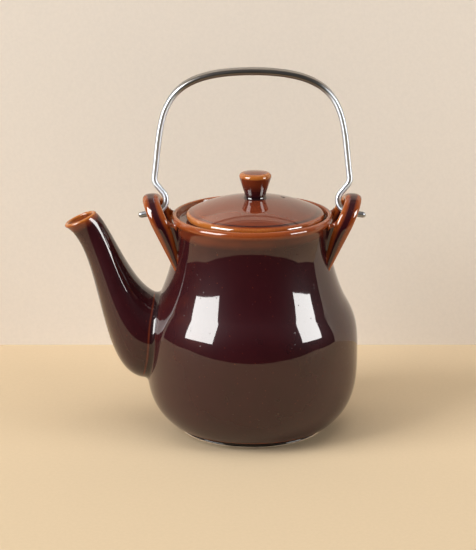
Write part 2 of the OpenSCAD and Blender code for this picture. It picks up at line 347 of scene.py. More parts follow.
def makeClay():
    c = clayLook
    mat, shader = newMaterial("bareClay")
    coords = addNode(mat, "TexCoord").outputs["Object"]
    grain = noise(mat, coords, c["grainScale"], 3, 0.65)
    stain = noise(mat, coords, c["stainScale"], 3)
    tone = blendTwo(mat, grain, c["grainShare"], stain, c["stainShare"])
    bump = addBump(mat, grain, c["bumpStrength"], c["bumpDepth"])
    link(mat, (ramp(mat, tone, [(0.3, c["dark"]), (0.7, c["light"])]), shader.inputs["Base Color"]),
         (bump.outputs["Normal"], shader.inputs["Normal"]))
    setInputs(shader, Roughness=c["roughness"])
    return mat


steelLook = {
    "dark": (0.56, 0.60, 0.65), "light": (0.75, 0.80, 0.86), "roughness": 0.37, "alongWire": 0.9,
    # the bow's colours are painted dark, a painted reflection of the dim room above it
    "bowDark": (0.1435, 0.1302, 0.1190), "bowLight": (0.2870, 0.2604, 0.2380), "bowRoughness": 0.21,
    "drawn": (14, 900, 1),  # stretch of the drawing lines along and round the wire
    "lineRough": 0.10, "smearScale": 160, "smearRough": 0.08,
    "bumpStrength": 0.15, "bumpDepth": 0.00003,
}


def makeSteel():
    # the polish blurs along the wire and is sharp round it: u goes along it, v round it
    s = steelLook
    mat, shader = newMaterial("satinSteel")
    spots = addNode(mat, "TexCoord")
    stretch = addNode(mat, "Mapping")
    setInputs(stretch, Scale=s["drawn"])
    link(mat, (spots.outputs["UV"], stretch.inputs["Vector"]))
    lines = noise(mat, stretch.outputs["Vector"], 1.0, 4, 0.7)
    smear = noise(mat, spots.outputs["Object"], s["smearScale"], 2)
    rough = blendTwo(mat, lines, s["lineRough"], smear, s["smearRough"])
    # the bow along the top is painted darker, a painted reflection of the dim room above it,
    # with a polish that is the same both ways
    bow = addNode(mat, "Attribute", attribute_name="level").outputs["Fac"]
    base = remap(mat, bow, 0.0, 1.0, s["roughness"], s["bowRoughness"])
    tone = addNode(mat, "MixRGB")
    tangent = addNode(mat, "Tangent", direction_type="UV_MAP", uv_map="wire")
    bump = addBump(mat, lines, s["bumpStrength"], s["bumpDepth"])
    link(mat, (bow, tone.inputs[0]),
         (ramp(mat, lines, [(0.25, s["dark"]), (0.75, s["light"])]), tone.inputs[1]),
         (ramp(mat, lines, [(0.25, s["bowDark"]), (0.75, s["bowLight"])]), tone.inputs[2]),
         (tone.outputs[0], shader.inputs["Base Color"]),
         (remap(mat, bow, 0.0, 1.0, s["alongWire"], 0.0), shader.inputs["Anisotropic"]),
         (tangent.outputs[0], shader.inputs["Tangent"]),
         (mathNode(mat, "ADD", rough, base), shader.inputs["Roughness"]),
         (bump.outputs["Normal"], shader.inputs["Normal"]))
    setInputs(shader, Metallic=1.0)
    return mat


darkGlaze = makeGlaze("aubergineGlaze", base=0.16, ior=1.55, haze=0.18)
rustGlaze = makeGlaze("rustGlaze", base=0.44, ior=1.66)
# a lit copy of the rust glaze: it reflects more, so the lid reads brighter as if more light fell on
# it
lidGlaze = makeGlaze("lidGlaze", base=0.44, ior=1.9)
bareClay = makeClay()
satinSteel = makeSteel()
print("materials ready")


# pot: thrown belly, neck, rolled rim with the lid's seat, and the foot

pot = {
    "rimZ": 146.0, "rimR": 53.3, "rimRoll": 2.6, "rollFrom": -35.0, "rimEdge": 1.1,
    "galleryR": 48.0, "seatFlare": 1.6, "seatFillet": 1.0, "seatZ": 142.0,
    "ledgeR": 41.0, "ledgeT": 3.5, "ledgeEdge": 0.7, "wall": 5.0, "floorZ": 7.5,
    "footR": 50.0, "footZ": 1.5, "footSlope": 33.0, "ringIn": 43.0,
    "bellyR": 70.8, "bellyZ": 50.5, "shoulderR": 62.5, "shoulderZ": 88.0, "shoulderLean": 30.0,
    "neckR": 51.1, "neckZ": 131.5,
    "footPull": 21.4, "bellyPulls": (23.4, 19.8), "shoulderPulls": (14.0, 7.1),
    "neckPulls": (16.6, 4.0), "rollPull": 2.5,
    "footGroove": 5.6,  # height where the belly turns in above the foot
    "ringShape": [(0.0, 1.1), (0.0, 0.3), (0.3, 0.0)],  # outwards from ringIn, height
    "footShape": [(-1.4, 0.0), (-0.95, 0.12), (-0.75, 0.35), (-0.75, 0.70), (-0.85, 0.85),
                  (-1.1, 1.0), (-1.3, 1.5), (-1.2, 2.8), (-0.6, 3.8), (0.8, 4.5)],  # from footR
    "grooveShape": [(-2.4, 4.85), (-0.8, 5.05), (-0.25, 5.28)],  # from the belly above
    "floorShape": [(-2.2, 0.9), (-4.5, 0.15), (-8.0, 0.0)],      # from the wall inside, over floorZ
    "strainer": {"d": 5.0, "pitch": 10.0, "z": 63.5, "x": (-75.8, -55.8), "sides": 32},
    "sides": 216, "steps": 30, "sharpFrom": 50, "clayBelow": 0.9,
    # glaze, as gain, start and width: rust that runs down the neck, ember on the roll, lighter on
    # the crest, and round the foot darker under a thin light line: glaze pooled in the groove with
    # painted shade, and glaze thin over the edge with a painted highlight
    "rimThin": [(0.16, 132.5, 6.0), (0.26, 140.6, 2.0), (0.07, 144.6, 1.4)], "rimFrom": 134,
    "seatThin": 0.12, "seatFrom": 141,
    "footPoolAndShade": (-0.16, 5.3, -0.4), "footLineAndHighlight": (0.50, 5.5, 0.30), "footTo": 7.0,
    # painted light and shade above a given height: lighter towards the spout, darker at the back
    "lean": 0.06, "paintedLightFrom": 50.0,
}


def potCurves():
    p = pot
    lean = polar(90 + p["shoulderLean"])
    foot, belly = np.array([p["footR"], p["footZ"]]), np.array([p["bellyR"], p["bellyZ"]])
    shoulder = np.array([p["shoulderR"], p["shoulderZ"]])
    neck = np.array([p["neckR"], p["neckZ"]])
    up = np.array([0.0, 1.0])
    rollC = np.array([p["rimR"] - p["rimRoll"], p["rimZ"] - p["rimRoll"]])
    rollAt = polar(p["rollFrom"])
    roll = rollC + p["rimRoll"] * rollAt
    bellyIn, bellyOut = p["bellyPulls"]
    shoulderIn, shoulderOut = p["shoulderPulls"]
    neckIn, neckOut = p["neckPulls"]
    return [
        [foot, foot + p["footPull"] * polar(p["footSlope"]), belly - bellyIn * up, belly],
        [belly, belly + bellyOut * up, shoulder - shoulderIn * lean, shoulder],
        [shoulder, shoulder + shoulderOut * lean, neck - neckIn * up, neck],
        [neck, neck + neckOut * up, roll - p["rollPull"] * leftOf(rollAt), roll],
    ], rollC


def potOutside(steps):
    curves, rollC = potCurves()
    points = [curves[0][0]]
    for c in curves:
        points += [bezier(c, i / steps) for i in range(1, steps + 1)]
    return points + arc(rollC, pot["rimRoll"], pot["rollFrom"], 90, 20)[1:]


potWallCurve = np.array([p for p in potOutside(120) if p[1] < pot["rimZ"] - pot["rimRoll"]])


def potRadius(z):
    return np.interp(z, potWallCurve[:, 1], potWallCurve[:, 0])


def potNormal(points):
    step = 0.2
    slope = (potRadius(points[:, 2] + step) - potRadius(points[:, 2] - step)) / (2 * step)
    r = np.hypot(points[:, 0], points[:, 1])
    return unit(np.stack([points[:, 0] / r, points[:, 1] / r, -slope], 1))


def potProfile():
    p = pot
    # foot ring, a groove that the glaze fills, then the belly
    startR = potRadius(p["footGroove"])
    points = [(0, p["footZ"]), (p["ringIn"] - 3, p["footZ"]), (p["ringIn"] - 0.4, p["footZ"])]
    points += [(p["ringIn"] + x, z) for x, z in p["ringShape"]]
    points += [(p["footR"] + x, z) for x, z in p["footShape"]]
    points += [(startR + x, z) for x, z in p["grooveShape"]]
    points.append((startR, p["footGroove"] + 0.05))
    points += [q for q in potOutside(p["steps"]) if q[1] > p["footGroove"] + 0.4]
    # the rim's inner edge, the lid's seat and its ledge
    edge, fillet, ledge = p["rimEdge"], p["seatFillet"], p["ledgeEdge"]
    edgeR = p["galleryR"] + p["seatFlare"] + edge
    points += arc([edgeR, p["rimZ"] - edge], edge, 90, 180, 12)[1:]
    points += arc([p["galleryR"] - fillet, p["seatZ"] + fillet], fillet, 0, -90, 6)
    points.append((p["ledgeR"] + 0.8, p["seatZ"]))
    points += arc([p["ledgeR"] + ledge, p["seatZ"] - ledge], ledge, 90, 180, 5)
    underZ, neckIn = p["seatZ"] - p["ledgeT"], p["neckR"] - p["wall"]
    points += [(p["ledgeR"], underZ), (neckIn, underZ - (neckIn - p["ledgeR"]))]
    # down the inside and over the floor
    inside = []
    for c in reversed(potCurves()[0][:3]):
        for i in range(p["steps"], 0, -1):
            k = i / p["steps"]
            inside.append(bezier(c, k) + p["wall"] * leftOf(bezierRun(c, k)))
    points += [q for q in inside if q[1] > p["floorZ"] + 2.5]
    cornerR = points[-1][0]
    points += [(cornerR + x, p["floorZ"] + z) for x, z in p["floorShape"]]
    points += [(20, p["floorZ"]), (0, p["floorZ"])]
    return [tuple(q) for q in points]


def potThin(profile):
    p = pot
    values = []
    for r, z in profile:
        value = 0.0
        if z > p["rimFrom"] and r > p["galleryR"] - 0.2:
            value = sum(rise(z, *band) for band in p["rimThin"])
        elif z > p["seatFrom"] and r > p["ledgeR"] - 0.5:
            value = p["seatThin"]
        # round the foot: darker below the edge, pooled glaze and painted shade, under a thin light
        # line, thin glaze and a painted highlight
        if r > p["ringIn"] + 1 and z < p["footTo"]:
            value = rise(z, *p["footPoolAndShade"]) + stripe(z, *p["footLineAndHighlight"])
        values.append(value)
    return values


def strainerCutter():
    s = pot["strainer"]
    n, r = s["sides"], s["d"] / 2
    turns = roundTurns(n)
    spots = [(0.0, 0.0)] + [tuple(s["pitch"] * polar(60 * k)) for k in range(6)]
    points, faces = [], []
    for up, across in spots:
        first = len(points)
        for x in s["x"]:
            points += [(x, across + r * cos(a), s["z"] + up + r * sin(a)) for a in turns]
        for j in range(n):
            m = (j + 1) % n
            faces.append((first + j, first + n + j, first + n + m, first + m))
        faces.append(tuple(first + j for j in range(n)))
        faces.append(tuple(first + 2 * n - 1 - j for j in range(n)))
    return addMesh("strainerCutter", points, faces)


def makePot():
    profile = potProfile()
    obj = revolve("potBody", profile, pot["sides"])
    cutWith(obj, strainerCutter())
    # with painted light and shade: lighter towards the spout, darker at the back
    paintProfile(obj, profile, potThin(profile), 0.0, pot["lean"], pot["paintedLightFrom"])
    mount(obj, "pot", "pot_body", "glaze_dark", darkGlaze, bareClay)
    for face in obj.data.polygons:  # the foot's face is bare
        z, r = face.center.z / mm, hypot(face.center.x, face.center.y) / mm
        if z < pot["clayBelow"] and r > pot["ringIn"] - 0.5:
            face.material_index = 1
    softShade(obj, pot["sharpFrom"])


makePot()


# joints: a rounded band from a swept wall onto the pot

jointLook = {"sink": 1.6, "tuck": 0.6, "press": 0.04}  # how the band's edge runs into the pot


def jointBand(start, away, wallPoints, reach, steps):
    # start is where the swept wall leaves the pot, away points outward from that wall,
    # and wallPoints are where the band ends on it
    normals = potNormal(start)
    along = unit(away - (away * normals).sum(1, keepdims=True) * normals)
    foot = start + reach * along
    ratio = potRadius(foot[:, 2]) / np.hypot(foot[:, 0], foot[:, 1])
    foot = np.stack([foot[:, 0] * ratio, foot[:, 1] * ratio, foot[:, 2]], 1)
    footNormal = potNormal(foot)
    rings = [foot - jointLook["sink"] * footNormal - jointLook["tuck"] * along]
    foot = foot - jointLook["press"] * footNormal
    for k in range(steps + 1):
        t = k / steps
        rings.append((1 - t) ** 2 * foot + 2 * (1 - t) * t * start + t * t * wallPoints)
    return rings


def crossings(lines, depth=0.0):
    # first place where each line of points leaves the pot, as a whole and a part of a step
    gap = np.hypot(lines[..., 0], lines[..., 1]) - (potRadius(lines[..., 2]) - depth)
    at = np.argmax(gap > 0, axis=0)
    pick = np.arange(lines.shape[1])
    before, after = gap[at - 1, pick], gap[at, pick]
    return at - 1 + before / (before - after)


def moveAlong(lines, places, at, distance):
    # from a place on each line of points to one that lies a distance further along it
    steps = np.linalg.norm(np.diff(lines, axis=0), axis=2)
    lengths = np.vstack([np.zeros(lines.shape[1]), np.cumsum(steps, axis=0)])
    return np.array([np.interp(np.interp(at[j], places, run) + distance, run, places)
                     for j, run in enumerate(lengths.T)])


# spout

spout = {
    "lipFront": (-123.1, 137.2), "lipW": 22.6, "lipTilt": 22.5, "wall": 3.0,
    "underRoot": (-59.5, 36.0), "topRoot": (-55.0, 91.0), "rootDip": 23.0,
    "underPull": 50.5, "underLip": -29.0, "lipPull": 32.0,
    "topPull": 22.5, "topLip": 138.0, "backPull": 14.5,
    "sides": 128, "steps": 90, "lipSteps": 12, "bandSteps": 12, "sharpFrom": 60,
    "bandWall": 3.4, "bandPot": 3.0,   # widths of the rounded joint on the spout and on the pot
    "rootSink": 1.2,                   # how far the bore starts inside the pot's wall
    # glaze: thin at both edges of the joint, pooled in it, thin again towards the lip
    "bandThin": [0.0, 0.22, 0.22 * 2 / 3, 0.22 / 3] + [-0.10] * 8 + [0.06, 0.18],
    "rootThin": [(0.004, 0.20), (0.008, 0.16), (0.014, 0.08), (0.02, 0.03)],  # share of the way up
    "wallFrom": 0.03, "wallThin": [(0.22, 0.90, 0.07), (0.26, 0.96, 0.04)],
    "lipThin": 0.50, "crestThin": 0.18, "boreThin": (0.50, 0.0, 0.12),
}


def spoutCurves():
    s = spout
    front = np.array(s["lipFront"])
    back = front + s["lipW"] * polar(s["lipTilt"])
    low, top = np.array(s["underRoot"]), np.array(s["topRoot"])
    dip = polar(180 + s["rootDip"])
    return ([low, low + s["underPull"] * dip, front + s["lipPull"] * polar(s["underLip"]), front],
            [top, top + s["topPull"] * dip, back - s["backPull"] * polar(s["topLip"]), back])


def spoutPoints(t, phi, inset=0.0, past=0.0):
    low, top = (bezier(c, np.asarray(t)[:, None]) for c in spoutCurves())
    wide = top - low
    length = np.linalg.norm(wide, axis=1, keepdims=True)
    wide = wide / length
    half = length / 2 - inset
    out = (low + top) / 2 + past * np.stack([-wide[:, 1], wide[:, 0]], 1)
    flat = out + half * np.cos(phi)[:, None] * wide
    return np.stack([flat[:, 0], half[:, 0] * np.sin(phi), flat[:, 1]], 1)


def makeSpout():
    s = spout
    n = s["sides"]
    phi = roundTurns(n)
    perRun = 1000  # trial steps in a whole run from root to lip
    trial = np.linspace(0, 0.7, 701)
    nudge = 0.002

    def leaves(inset, depth):
        lines = np.stack([spoutPoints(np.full(n, t), phi, inset) for t in trial])
        return crossings(lines, depth) / perRun, lines

    t0, lines = leaves(0.0, 0.0)
    start = spoutPoints(t0, phi)
    t1 = moveAlong(lines, trial, t0, s["bandWall"])
    along = spoutPoints(t0 + nudge, phi) - spoutPoints(t0 - nudge, phi)
    across = spoutPoints(t0, phi + nudge) - spoutPoints(t0, phi - nudge)
    away = unit(np.cross(across, along))
    if ((start - start.mean(0)) * away).sum() < 0:
        away = -away
    rings = jointBand(start, away, spoutPoints(t1, phi), s["bandPot"], s["bandSteps"])
    thin = list(s["bandThin"])
    for up, value in s["rootThin"]:
        rings.append(spoutPoints(t1 + (1 - t1) * up, phi))
        thin.append(value)
    for k in range(s["steps"] + 1):
        up = s["wallFrom"] + (1 - s["wallFrom"]) * k / s["steps"]
        rings.append(spoutPoints(t1 + (1 - t1) * up, phi))
        thin.append(sum(rise(up, *band) for band in s["wallThin"]))
    r = s["wall"] / 2
    for k in range(1, s["lipSteps"]):
        a = pi * k / s["lipSteps"]
        rings.append(spoutPoints(np.ones(n), phi, r * (1 - cos(a)), r * sin(a)))
        thin.append(s["lipThin"] + s["crestThin"] * sin(a))
    tIn, _ = leaves(s["wall"], s["rootSink"])
    for k in range(s["steps"] + 1):
        down = k / s["steps"]
        rings.append(spoutPoints(1 + (tIn - 1) * down, phi, s["wall"]))
        thin.append(s["lipThin"] - rise(down, *s["boreThin"]))
    obj = skinRings("spout", rings, loop=True)
    paint(obj, "thin", np.repeat(thin, n))
    softShade(obj, s["sharpFrom"])
    mount(obj, "pot", "spout", "glaze_dark", darkGlaze)


makeSpout()


# ears: straps bent to an upturned U that lean out from the neck

ear = {
    "crest": (66.3, 155.8), "footZ": 119.0, "span": 34.0, "strapW": 10.9, "footW": 5.4,
    "strapT": 6.0, "soft": 0.8, "level": 0.85, "sink": 9.0,
    "sides": 64, "legSteps": 40, "archSteps": 96, "between": 150, "search": 90, "sharpFrom": 60,
    "bandStrap": 1.1, "bandPot": 0.9, "bandSteps": 8,
    # small bridge of clay and glaze from the leg to the rim
    "bridge": {"z": 141.5, "r": 1.5, "flare": 1.5, "tall": 1.15, "legX": 54.6, "legUp": 0.6,
               "rimSink": 1.4, "rimDown": 0.4, "sides": 32, "steps": 16, "thin": 0.1},
    # thin web that closes the narrow gap between the leg and the neck below the bridge,
    # glazed darkest as painted shade for the shadowed crease there
    "web": {"fromZ": 125.0, "t": 1.3, "flare": 0.9, "potSink": 1.2, "legSink": 1.0, "least": 1.5,
            "sides": 32, "count": 14, "thin": -0.24},
    # glaze: amber on both edges of the strap, and darker along the middle of its faces,
    # a painted reflection of the dark room
    "edgeThin": [(0.20, 0.34, 0.26), (0.12, 0.80, 0.16)], "faceDarkReflection": (0.26, 0.14, 0.26),
    "bandPool": 0.16,
}


def earRings():
    e = ear
    half = e["span"] / 2
    foot = np.array([sqrt(pot["neckR"] ** 2 - half ** 2), e["footZ"]])
    run = np.array(e["crest"]) - foot
    lean = atan2(run[0], run[1])
    legLen = np.linalg.norm(run) - half
    leg, arch = [], []  # across, up, turn along the arch, nearness to the pot
    for i in range(e["legSteps"]):
        k = i / e["legSteps"]
        leg.append((half, legLen * k - e["sink"] * (1 - k), 0.0, float(smooth(1 - k))))
    for i in range(e["archSteps"] + 1):
        turn = pi * i / e["archSteps"]
        arch.append((half * cos(turn), legLen + half * sin(turn), turn, 0.0))
    path = leg + arch + [(-half, up, pi, near) for _, up, _, near in reversed(leg)]
    turns = roundTurns(e["sides"])

    def soften(v):
        return np.sign(v) * np.abs(v) ** e["soft"]

    rings = []
    for side, up, turn, near in path:
        tilt = -lean * (1 - e["level"] * sin(turn))
        out = np.array([cos(tilt), sin(tilt)])
        taper = (e["strapW"] - e["footW"]) * near
        across = (e["strapW"] - taper) / 2 * soften(np.cos(turns)) + taper / 2
        thick = e["strapT"] / 2 * soften(np.sin(turns))
        mid = foot + up * unit(run)
        flat = mid + across[:, None] * out + (thick * sin(turn))[:, None] * leftOf(out)
        rings.append(np.stack([flat[:, 0], side + thick * cos(turn), flat[:, 1]], 1))
    return np.array(rings), turns


def lineAt(lines, place):
    # points of each side line at a place given in steps
    low = np.clip(np.floor(place).astype(int), 0, len(lines) - 2)
    part = (place - low)[:, None]
    pick = np.arange(lines.shape[1])
    return lines[low, pick] * (1 - part) + lines[low + 1, pick] * part


def earEnd(lines):
    # joint band of one leg: lines start inside the pot
    at = crossings(lines[:ear["search"]])
    start = lineAt(lines, at)
    stop = moveAlong(lines, np.arange(len(lines)), at, ear["bandStrap"])
    away = unit(start - start.mean(0))
    return jointBand(start, away, lineAt(lines, stop), ear["bandPot"], ear["bandSteps"]), stop


def bridgeRings(side):
    # from the inner edge of a leg to the rim, flared at both ends
    b = ear["bridge"]
    y = side * (ear["span"] / 2)
    outer = np.array([b["legX"], y, b["z"] + b["legUp"]])
    inner = np.array([sqrt((pot["rimR"] - b["rimSink"]) ** 2 - y * y), y, b["z"] - b["rimDown"]])
    turns = roundTurns(b["sides"])
    rings = []
    for t in np.linspace(0, 1, b["steps"] + 1):
        r = b["r"] + b["flare"] * abs(2 * t - 1) ** 3
        mid = outer + (inner - outer) * t
        rings.append(np.stack([np.full(b["sides"], mid[0]), mid[1] + r * np.cos(turns),
                               mid[2] + b["tall"] * r * np.sin(turns)], 1))
    return rings


def webRings(side, innerEdge):
    w = ear["web"]
    y = side * (ear["span"] / 2)
    turns = roundTurns(w["sides"])
    flare = 1.0 + w["flare"] * np.abs(np.cos(turns)) ** 3
    rings = []
    for up in np.linspace(w["fromZ"], ear["bridge"]["z"], w["count"]):
        low = sqrt(potRadius(up) ** 2 - y * y) - w["potSink"]
        high = np.interp(up, innerEdge[:, 2], innerEdge[:, 0]) + w["legSink"]
        high = max(high, low + w["least"])
        rings.append(np.stack([(low + high) / 2 + (high - low) / 2 * np.cos(turns),
                               y + w["t"] * flare * np.sin(turns), np.full(w["sides"], up)], 1))
    return rings


def makeEar(name, node, way):
    # way is 1 for the ear at the back and -1 for the one above the spout
    e = ear
    lines, turns = earRings()
    bandA, stopA = earEnd(lines)
    bandB, stopB = earEnd(lines[::-1])
    stopB = len(lines) - 1 - stopB
    rings = list(bandA)
    for k in range(1, e["between"]):
        rings.append(lineAt(lines, stopA + (stopB - stopA) * k / e["between"]))
    rings += bandB[::-1]
    edge = np.abs(np.cos(turns))
    # painted reflection: each face darker along its middle
    reflectedDark, low, over = e["faceDarkReflection"]
    strap = -reflectedDark * (1 - smooth((edge - low) / over))
    for gain, low, over in e["edgeThin"]:
        strap = strap + gain * smooth((edge - low) / over)
    thin = np.tile(strap, (len(rings), 1))
    band = len(bandA)
    for k in range(band):
        deep = smooth(1 - k / (band - 1))
        thin[k] = thin[-1 - k] = strap * (1 - deep) - e["bandPool"] * deep
    obj = skinRings(name, np.array(rings) * [way, 1, 1])
    paint(obj, "thin", np.append(thin.ravel(), [0, 0]))
    legEdge = lines[:e["legSteps"], e["sides"] // 2]
    joined = [obj]
    for side in (-1, 1):
        for kind, shape in (("bridge", bridgeRings(side)), ("web", webRings(side, legEdge))):
            part = skinRings(name + kind.title(), np.array(shape) * [way, 1, 1])
            # the web is glazed darkest, as painted shade in the gap
            paint(part, "thin", np.full(len(part.data.vertices), e[kind]["thin"]))
            joined.append(part)
    with bpy.context.temp_override(active_object=obj, selected_editable_objects=joined):
        bpy.ops.object.join()
    softShade(obj, e["sharpFrom"])
    mount(obj, "pot", node, "glaze_rust", rustGlaze)


makeEar("spoutEar", "spout_ear", -1)
makeEar("backEar", "back_ear", 1)


# lid: shallow dome with a rounded edge, a steam hole and a ring below

lid = {
    "shift": 2.1, "r": 45.4, "baseZ": 142.3, "edge": 2.4, "crease": 70.0, "tuck": -60.0,
    "topZ": 156.5, "knobR": 8.4, "t": 5.0,
    "ringR": 38.1, "ringT": 4.0, "ringZ": 132.0, "ringEdges": (0.6, 0.8),
    "ventAt": 20.0, "ventTurn": 22.0, "ventZ": 154.86, "ventSides": 40,
    "ventShape": [(-9, 1.25), (-0.7, 1.25), (-0.4, 1.28), (-0.2, 1.35), (0, 1.5), (0.25, 1.75),
                  (2, 2.0)],  # height over ventZ, where the dome is, and radius
    "sides": 216, "sharpFrom": 50,
    # glaze: thin round the edge, pooled inside it, round the knob and in the steam hole;
    # lean paints the dome lighter towards the spout and darker on the far side, as painted light
    # and shade
    "thin": -0.05, "domeThin": -0.02, "edgeThin": (0.29, 42.6, 1.8), "edgePool": (-0.22, 42.1, 0.8),
    "knobPool": (-0.34, 10.5, -4.5), "ventPool": -0.5, "ventPoolR": 1.9, "lean": 0.13,
}


def lidProfile():
    d = lid
    edgeC = np.array([d["r"] - d["edge"], d["baseZ"] + d["edge"]])
    edgeTop = edgeC + d["edge"] * polar(d["crease"])
    sag = d["topZ"] - edgeTop[1]
    domeH = (edgeTop[0] ** 2 - d["knobR"] ** 2 + sag * sag) / (2 * sag)
    ball = hypot(d["knobR"], domeH)
    c = np.array([0.0, d["topZ"] - domeH])
    low = np.degrees(atan2(edgeTop[1] - c[1], edgeTop[0]))
    high = np.degrees(atan2(domeH, d["knobR"]))
    under = ball - d["t"]
    ringIn = d["ringR"] - d["ringT"]
    inner, outer = d["ringEdges"]
    # from the middle of the underside down the ring, up its outside, over the edge, up the dome
    points = arc(c, under, 90, np.degrees(acos(ringIn / under)), 30)
    points += arc([ringIn + inner, d["ringZ"] + inner], inner, -180, -90, 5)
    points += arc([d["ringR"] - outer, d["ringZ"] + outer], outer, -90, 0, 6)
    points += [(d["ringR"], d["baseZ"] - 0.6), (d["ringR"] + 0.4, d["baseZ"])]
    points.append((edgeC[0], d["baseZ"]))
    points += arc(edgeC, d["edge"], d["tuck"], d["crease"], 22)
    points += arc(c, ball, low, high, 44)[1:]
    points += [(3.0, d["topZ"]), (0.0, d["topZ"])]
    return [tuple(q) for q in points]


def lidThin(profile):
    d = lid
    values = []
    for r, z in profile:
        value = d["thin"]
        if z > d["baseZ"] + 0.9 and r > d["ringR"] + 0.5:
            value = d["domeThin"] + rise(r, *d["edgeThin"]) + stripe(r, *d["edgePool"])
        if z > d["baseZ"] + 1 and r < 11:
            value += rise(r, *d["knobPool"])
        values.append(value)
    return values


def ventCentre():
    return np.array([lid["shift"], 0.0]) + lid["ventAt"] * polar(lid["ventTurn"])


def ventCutter():
    x, y = ventCentre()
    n = lid["ventSides"]
    turns = roundTurns(n)
    rings = []
    for up, r in lid["ventShape"]:
        z = np.full(n, lid["ventZ"] + up)
        rings.append(np.stack([x + r * np.cos(turns), y + r * np.sin(turns), z], 1))
    return skinRings("ventCutter", rings)


def makeLid():
    profile = lidProfile()
    obj = revolve("lid", profile, lid["sides"], lid["shift"])
    cutWith(obj, ventCutter())
    # painted light and shade: the dome lighter towards the spout, darker on the far side
    paintProfile(obj, profile, lidThin(profile), lid["shift"], lid["lean"])
    thin = obj.data.attributes["thin"].data
    for vertex in obj.data.vertices:
        if np.linalg.norm(np.array(vertex.co[:2]) / mm - ventCentre()) < lid["ventPoolR"]:
            thin[vertex.index].value += lid["ventPool"]
    softShade(obj, lid["sharpFrom"])
    mount(obj, "lid", "lid", "glaze_rust", lidGlaze)


makeLid()


# knob: a cone that widens upwards on a fillet of glaze

knob = {
    "baseZ": 156.5, "h": 17.3, "r": 10.6, "waistR": 7.0, "waistZ": 2.7, "edge": 2.2, "crown": 0.8,
    "fillet": 1.4, "sides": 128, "sharpFrom": 60,
    # glaze: pooled on the waist and under the top, thin on the top and most at its edge
    "thin": -0.25, "waistPool": (-0.20, 3.2, -2.6), "neckPool": (-0.08, 12.2, 0.8),
    "topThin": (0.59, 12.9, 1.5), "crownShare": 0.45, "topEdge": (0.55, 6.0, 2.5),
}


def knobProfile():
    k = knob
    edgeC = np.array([k["r"] - k["edge"], k["h"] - k["crown"] - k["edge"]])
    waist = np.array([k["waistR"], k["waistZ"]])
    flank = -np.degrees(atan2(k["r"] - waist[0], edgeC[1] - waist[1]))
    skirt = np.array([k["waistR"] + k["fillet"], -0.12])
    bend, filletTop = np.array([k["waistR"] - 0.1, 0.0]), waist + [0.05, 0.25]
    points = [(0.0, -1.0), (5.0, -1.0), (skirt[0] - 0.3, -0.9)]
    points += [(1 - t) ** 2 * skirt + 2 * (1 - t) * t * bend + t * t * filletTop
               for t in np.linspace(0, 1, 12)]
    points += arc(edgeC, k["edge"], flank, 90, 18)
    crownR = (edgeC[0] ** 2 + k["crown"] ** 2) / (2 * k["crown"])
    points += [(x, k["h"] - crownR + sqrt(crownR ** 2 - x * x))
               for x in np.linspace(edgeC[0], 0, 16)[1:]]
    return [(r, z + k["baseZ"]) for r, z in points]


def knobThin(profile):
    k = knob
    values = []
    for r, z in profile:
        up = z - k["baseZ"]
        top = rise(up, *k["topThin"]) * (k["crownShare"] + rise(r, *k["topEdge"]))
        values.append(k["thin"] + rise(up, *k["waistPool"]) + stripe(up, *k["neckPool"]) + top)
    return values


def makeKnob():
    profile = knobProfile()
    obj = revolve("lidKnob", profile, knob["sides"], lid["shift"])
    paintProfile(obj, profile, knobThin(profile), lid["shift"])
    softShade(obj, knob["sharpFrom"])
    mount(obj, "lid", "lid_knob", "glaze_rust", rustGlaze)


makeKnob()


# bail: one bent wire, flattened along the bow, hooked under the straps of both ears

bail = {
    "d": 4.0, "w": 11.0, "h": 84.3, "legRise": 14.5, "legInset": 2.5, "legLean": 8.0,
    "bowTop": 63.5, "bowSide": 41.5, "bendR": 7.0, "taperFrom": 0.7,
    "hookGap": 0.8, "hookDrop": 1.0, "hookInset": 1.6, "pinDroop": 11.0, "pinLen": 9.7,
    "sides": 40, "bowSteps": 80, "bendSteps": 14, "hookSteps": 40, "pinSteps": 8, "sharpFrom": 60,
    # the level bow and the pins are painted darker, a painted reflection of the dim surroundings;
    # the bow also takes its own polish
    "levelRise": (1.0, 0.5, 0.42), "pinLevel": 0.6,  # darker along the level bow and on the pins
    "roundV": 0.03,                                  # v of the drawing lines once round the wire
}


